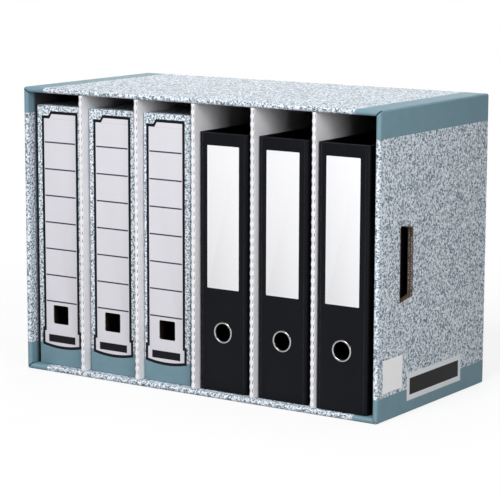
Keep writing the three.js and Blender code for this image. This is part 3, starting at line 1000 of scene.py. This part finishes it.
@dataclass
class TransferBox(Boxed):
    """A transfer box of thin board, hollow, with a square finger hole and a tucked-in lid."""

    name: str
    low: Vector
    high: Vector
    board: float = 1.8 * MM
    crease: float = 1.4 * MM
    gap: float = 0.4 * MM
    hole: float = 26.5 * MM
    hole_height: float = 72 * MM
    hole_corner: float = 2 * MM
    print_shifts: tuple[float, float, float] = (1.6 * MM, 1.0 * MM, -1.8 * MM)

    def build(self) -> None:
        """Make the box and dress it in its print."""
        bm = box_mesh(self.low, self.high)
        round_edges(bm, edges_along(bm, 2), self.crease, 4)
        flat_edges = [edge for edge in bm.edges if abs(edge.verts[0].co.z - edge.verts[1].co.z) < NEAR
                      and len(edge.link_faces) == 2 and edge.calc_face_angle(0) > 1]
        round_edges(bm, flat_edges, 0.5 * MM, 2)
        piece = finished(f"printed_{self.name}", bm)
        wall = Vector((self.board,) * 3)
        hole = [Vector((self.middle + across, self.low.y - OVERRUN, self.low.z + self.hole_height + rise))
                for across, rise in soft_rectangle(self.hole, self.hole, self.hole_corner)]
        through = Vector((0, self.board + 2 * OVERRUN, 0))
        inside = box_mesh(self.low + wall, self.high - wall)
        carved(piece, [inside, prism(hole, through), *self._lid_slits()])
        smoothed(piece, 30)
        shift = self.print_shifts[int(self.name[-1]) - 1]
        material = TransferPrint(self.low, self.high, shift).material(f"{self.name}_print")
        join_frame(piece, Slot.TRANSFER, material, self.name)

    def _lid_slits(self) -> list[BMesh]:
        """Tools for the gap round three sides of the lid."""
        top = self.high.z + OVERRUN
        deep = self.high.z - self.board - 0.2 * MM
        left, right = self.low.x + self.board, self.high.x - self.board
        front, back = self.low.y + self.board, self.high.y - self.board
        slits = [box_mesh((start, front, deep), (start + self.gap, back, top))
                 for start in (left, right - self.gap)]
        return [*slits, box_mesh((left, front, deep), (right, front + self.gap, top))]


@dataclass
class LeverArchFile(Boxed):
    """A lever arch file: a wrapped cover with a spine label, a finger ring and its mechanism."""

    number: int
    low: Vector
    high: Vector
    board: float = 2.2 * MM
    spine_radius: float = 5 * MM
    groove: float = 0.45 * MM
    ring_height: float = 80.5 * MM
    ring_bore: float = 12 * MM
    ring_wall: float = 0.8 * MM
    ring_lip: float = 14.3 * MM
    ring_play: float = 0.3 * MM
    # A side's hinge in plan: how many millimetres behind the spine, and 1 where it dips in
    hinge: tuple[tuple[float, int], ...] = (
        (24, 0), (22, 0), (20.5, 1), (19, 0), (11, 0), (9.5, 1), (8, 0),
    )

    def _node(self, piece: str) -> str:
        """The frame's name of one of this file's pieces."""
        return f"file_{self.number}_{piece}"

    def build(self, paper: Material, steel: Material) -> None:
        """Make the cover, label and ring, and dress the mechanism that the frame holds."""
        cover = BlackCover(self.low, self.high).material(self._node("cover_sheet"))
        join_frame(self._cover(), Slot.COVER, cover, self._node("cover"))
        join_frame(self._label(), Slot.LABEL, paper, self._node("spine_label"))
        join_frame(self._ring(), Slot.STEEL, steel, self._node("finger_ring"))
        pieces = ("base_plate", "arch_wire", "compressor_bar", "lever", "lever_pin",
                  "lower_post", "upper_post", "lower_eyelet", "upper_eyelet")
        for piece in pieces:
            mesh = bpy.data.objects[self._node(piece)].data
            mesh.materials.clear()
            mesh.materials.append(steel)

    def _cover(self) -> Object:
        """The cover: its plan pushed up, given its thickness, with soft ends and a ring hole."""
        bm = bmesh.new()
        verts = [bm.verts.new((x, y, self.low.z)) for x, y in self._plan()]
        edges = [bm.edges.new(pair) for pair in zip(verts, verts[1:])]
        pushed = bmesh.ops.extrude_edge_only(bm, edges=edges)["geom"]
        tops = [part for part in pushed if isinstance(part, BMVert)]
        bmesh.ops.translate(bm, vec=(0, 0, self.high.z - self.low.z), verts=tops)
        outwards(bm)
        self._face_outwards(bm)
        piece = finished(self._node("wrapped_cover"), bm)
        modify(piece, "SOLIDIFY", thickness=self.board, offset=-1, use_even_offset=True)
        modify(piece, "BEVEL", width=0.7 * MM, segments=3, limit_method="ANGLE", angle_limit=math.radians(60))
        apply_modifiers(piece)
        hole = bmesh.new()
        radius = self.ring_bore + self.ring_wall + self.ring_play
        bmesh.ops.create_cone(
            hole, cap_ends=True, segments=64, radius1=radius, radius2=radius, depth=8 * MM,
            matrix=Matrix.Translation(self._ring_centre()) @ Matrix.Rotation(math.pi / 2, 4, "X"),
        )
        carved(piece, [hole])
        smoothed(piece, 40)
        return piece

    def _face_outwards(self, bm: BMesh) -> None:
        """Turn the open sheet so that its spine faces the front."""
        spine = min(bm.faces, key=lambda face: face.calc_center_median().y)
        if spine.normal.y > 0:
            bmesh.ops.reverse_faces(bm, faces=bm.faces)

    def _plan(self) -> list[Pair]:
        """The cover in plan: one side, the spine with round edges, and the other side."""
        front, radius, groove = self.low.y, self.spine_radius, self.groove
        flat = self.half - radius
        right = [
            (self.half, self.high.y),
            *((self.half - dip * groove, front + back * MM) for back, dip in self.hinge),
            *arc((flat, front + radius), (radius, -radius), 0, 90, 8),
            (flat - 1.2 * MM, front + groove * 0.6), (flat - 2.4 * MM, front),
        ]
        left = [(-across, back) for across, back in reversed(right)]
        return [(self.middle + across, back) for across, back in (*right, *left)]

    def _ring_centre(self) -> Vector:
        """The middle of the finger ring on the spine's face."""
        return Vector((self.middle, self.low.y, self.low.z + self.ring_height))

    def _label(self) -> Object:
        """The spine label: a sheet with softened edges."""
        low, high = corners(self._node("spine_label"))
        bm = box_mesh(low, high)
        round_edges(bm, edges_along(bm, 1), 1.0 * MM, 4)
        face_edges = [edge for edge in bm.edges if all(vert.co.y < low.y + NEAR for vert in edge.verts)]
        round_edges(bm, face_edges, 0.12 * MM, 2)
        return finished(self._node("paper_label"), bm)

    def _ring(self) -> Object:
        """The finger ring: a rolled lip, a tube through the spine and a flange behind it."""
        bore, wall, lip = self.ring_bore, self.ring_wall, self.ring_lip
        behind = self.board + self.ring_play
        crown = (lip - bore) / 2
        profile = [
            (bore, behind + wall), (bore, -0.2 * MM),
            *arc((bore + crown, -0.25 * MM), (crown, -0.75 * MM), 180, -180, 8),
            (lip, -0.05 * MM), (bore + wall, -0.05 * MM), (bore + wall, behind),
            (lip - wall, behind), (lip - wall, behind + wall),
        ]
        bm = bmesh.new()
        verts = [bm.verts.new((radius, depth, 0)) for radius, depth in profile]
        edges = [bm.edges.new((verts[index - 1], vert)) for index, vert in enumerate(verts)]
        bmesh.ops.spin(
            bm, geom=verts + edges, angle=2 * math.pi, steps=72, axis=(0, 1, 0), cent=(0, 0, 0),
            use_merge=True, use_duplicate=False,
        )
        bmesh.ops.remove_doubles(bm, verts=bm.verts, dist=NEAR)
        outwards(bm)
        bmesh.ops.translate(bm, vec=self._ring_centre(), verts=bm.verts)
        return finished(self._node("rolled_ring"), bm, 40)


@dataclass
class Studio:
    """The floor, the lights and the camera."""

    floor_size: float = 12.0
    camera_place: Vector = Vector((1.58077, -2.35538, 0.65700))
    yaw: float = 33.936
    pitch: float = 9.609
    roll: float = 0.173
    lens: float = 150.07
    sensor: float = 36.0
    soft_light: float = 0.16
    # Each lamp's name, place, the height of its target on the Z axis, its size and its watts
    lamps: tuple[tuple, ...] = (
        ("key", (0.5, -4.2, 4.2), 0.2, 2.4, 277.0),
        ("side", (2.0, -1.3, 0.8), 0.2, 1.0, 21.0),
        ("top", (0.0, 0.1, 2.6), 0.3, 1.6, 15.0),
        ("back", (-1.6, 2.8, 1.0), 0.4, 2.0, 40.0),
    )

    def build(self) -> None:
        """Set up the studio."""
        self._floor()
        self._world()
        for lamp in self.lamps:
            self._lamp(*lamp)
        self._camera()
        bpy.context.scene.view_settings.view_transform = "Standard"

    def _floor(self) -> None:
        """A pale floor that shows nearly white to the camera and keeps the shadow."""
        bm = bmesh.new()
        bmesh.ops.create_grid(bm, x_segments=1, y_segments=1, size=self.floor_size / 2)
        floor = finished("floor", bm)
        graph = Graph("floor_paper")
        grain = graph.noise(40.0, detail=3.0)
        bright = graph.mix(grain, srgb(240, 240, 240), srgb(244, 244, 244))
        shader = graph.node("ShaderNodeBsdfPrincipled", inputs={
            "Base Color": graph.mix(self._seen(graph), srgb(160, 160, 161), bright),
            "Roughness": 0.9, "Specular IOR Level": 0.1,
        })
        glow = graph.node("ShaderNodeEmission", inputs={"Color": (1.0, 1.0, 1.0), "Strength": 1.0})
        x, y, _ = graph.place()
        away = graph.math("SQRT", x * x + y * y)
        share = away.above(0.75, 0.6) * 0.2 + 0.8
        mixed = graph.node("ShaderNodeMixShader", inputs={
            0: self._seen(graph) * share, 1: shader.outputs[0], 2: glow.outputs[0],
        })
        floor.data.materials.append(graph.close(mixed))

    def _seen(self, graph: Graph) -> Value:
        """A mask of what the camera, a gloss or a glass sees directly."""
        path = graph.node("ShaderNodeLightPath")
        camera, glossy, through = (Value(graph, path.outputs[f"Is {name} Ray"])
                                   for name in ("Camera", "Glossy", "Transmission"))
        return camera | glossy | through

    def _world(self) -> None:
        """A plain world: soft light on the object, white behind it."""
        graph = Graph("studio", world=True)
        soft, white = (
            graph.node("ShaderNodeBackground", inputs={"Color": (1.0, 1.0, 1.0), "Strength": strength})
            for strength in (self.soft_light, 1.0)
        )
        seen = graph.node("ShaderNodeLightPath").outputs["Is Camera Ray"]
        bpy.context.scene.world = graph.close(graph.node("ShaderNodeMixShader", inputs={
            0: seen, 1: soft.outputs[0], 2: white.outputs[0],
        }))

    def _lamp(self, name: str, place: Sequence[float], aim: float, size: float, power: float) -> None:
        """Add a square soft light that faces a height on the Z axis."""
        light = bpy.data.lights.new(name, "AREA")
        light.energy = power
        light.size = size
        lamp = bpy.data.objects.new(name, light)
        lamp.location = place
        lamp.rotation_euler = (Vector((0, 0, aim)) - Vector(place)).to_track_quat("-Z", "Y").to_euler()
        bpy.context.scene.collection.objects.link(lamp)

    def _camera(self) -> None:
        """The camera at the photograph's place."""
        camera = bpy.data.cameras.new("camera")
        camera.lens = self.lens
        camera.sensor_width = self.sensor
        camera.clip_end = 50.0
        holder = bpy.data.objects.new("camera", camera)
        turn = Matrix.Rotation(math.radians(self.yaw), 4, "Z")
        tilt = Matrix.Rotation(math.radians(90 - self.pitch), 4, "X")
        lean = Matrix.Rotation(math.radians(self.roll), 4, "Z")
        holder.matrix_world = Matrix.Translation(self.camera_place) @ turn @ tilt @ lean
        bpy.context.scene.collection.objects.link(holder)
        bpy.context.scene.camera = holder


def main() -> None:
    """Build every sub-assembly around the frame."""
    logging.basicConfig(level=logging.INFO, format="%(message)s")
    Studio().build()
    white, kraft = WHITE_BOARD.material(), KRAFT_EDGE.material()
    CaseShell(*corners("outer_case")).build(kraft)
    for name in sorted(frame["nodes"]):
        if name.startswith("divider_"):
            PerforatedDivider(name, *corners(name)).build(white, kraft)
        elif name.startswith("transfer_box_"):
            TransferBox(name, *corners(name)).build()
    paper, steel = LABEL_PAPER.material(), BrightSteel().material()
    for number in range(1, 4):
        LeverArchFile(number, *corners(f"file_{number}_cover")).build(paper, steel)


if __name__ == "__main__":
    main()
